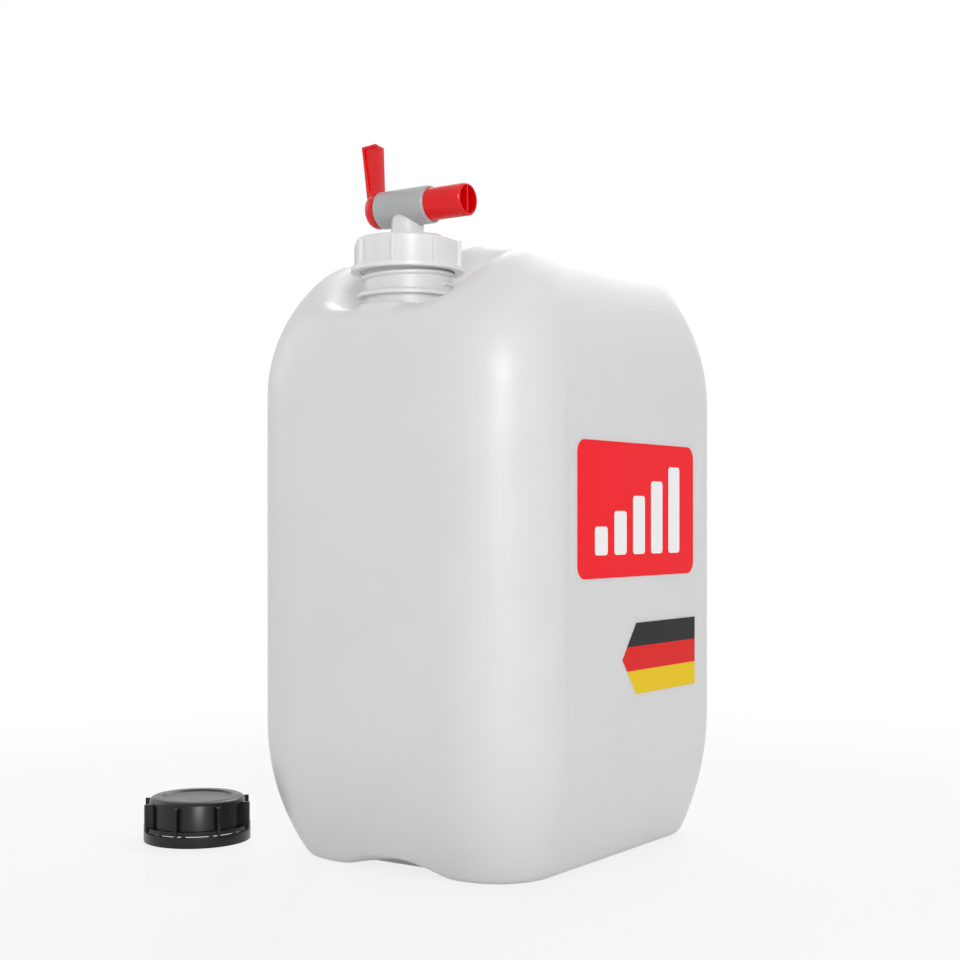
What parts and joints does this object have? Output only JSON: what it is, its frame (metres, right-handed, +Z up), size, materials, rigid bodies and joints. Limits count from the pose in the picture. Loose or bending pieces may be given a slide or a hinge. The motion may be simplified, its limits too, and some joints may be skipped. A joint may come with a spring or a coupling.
{
  "type": "carboy with spigot",
  "caption": "Rounded stackable plastic carboy with an integral carrying handle, a lever spigot screwed on its neck, and its transport screw cap taken off beside it.",
  "frame": {"origin": "centre of the carboy's flat base, on the surface that it stands on", "axes": "+Z up along the neck, -Y towards the neck side, +X towards the side with the labels and the way the spout points"},
  "size_m": [0.2746, 0.2356, 0.3877],
  "materials": {
    "natural_hdpe": "satin, translucent",
    "natural_pp": "satin, translucent",
    "grey_pp": "satin",
    "red_pp": "gloss",
    "black_hdpe": "semi-gloss",
    "tube_pe": "translucent",
    "seal_foam": "matt",
    "red_film": "satin printed film",
    "striped_film": "satin printed film in three bands"
  },
  "bodies": {
    "carboy": {"canister": "natural_hdpe", "transport_cap": "black_hdpe", "transport_cap_liner": "seal_foam", "capacity_label": "red_film", "stripe_label": "striped_film"},
    "seal": {"spigot_seal": "seal_foam"},
    "spigot": {"spigot_cap": "natural_pp", "tap_barrel": "grey_pp", "vent_tube": "tube_pe"},
    "tap": {"tap_plug": "red_pp"}
  },
  "joints": [
    {"name": "spigot_lift", "type": "slide", "parent": "carboy", "child": "seal", "axis": [0, 0, 1], "range_m": [0, 0.01375]},
    {"name": "spigot_turn", "type": "hinge", "parent": "seal", "child": "spigot", "pos_m": [0, -0.082, 0.33], "axis": [0, 0, 1], "range_deg": [0, 900]},
    {"name": "tap_turn", "type": "hinge", "parent": "spigot", "child": "tap", "pos_m": [0, -0.082, 0.3516], "axis": [1, 0, 0], "range_deg": [0, 90]}
  ],
  "couplings": [
    {"joint": "spigot_lift", "follows": "spigot_turn", "m_per_rad": 0.00087535}
  ]
}
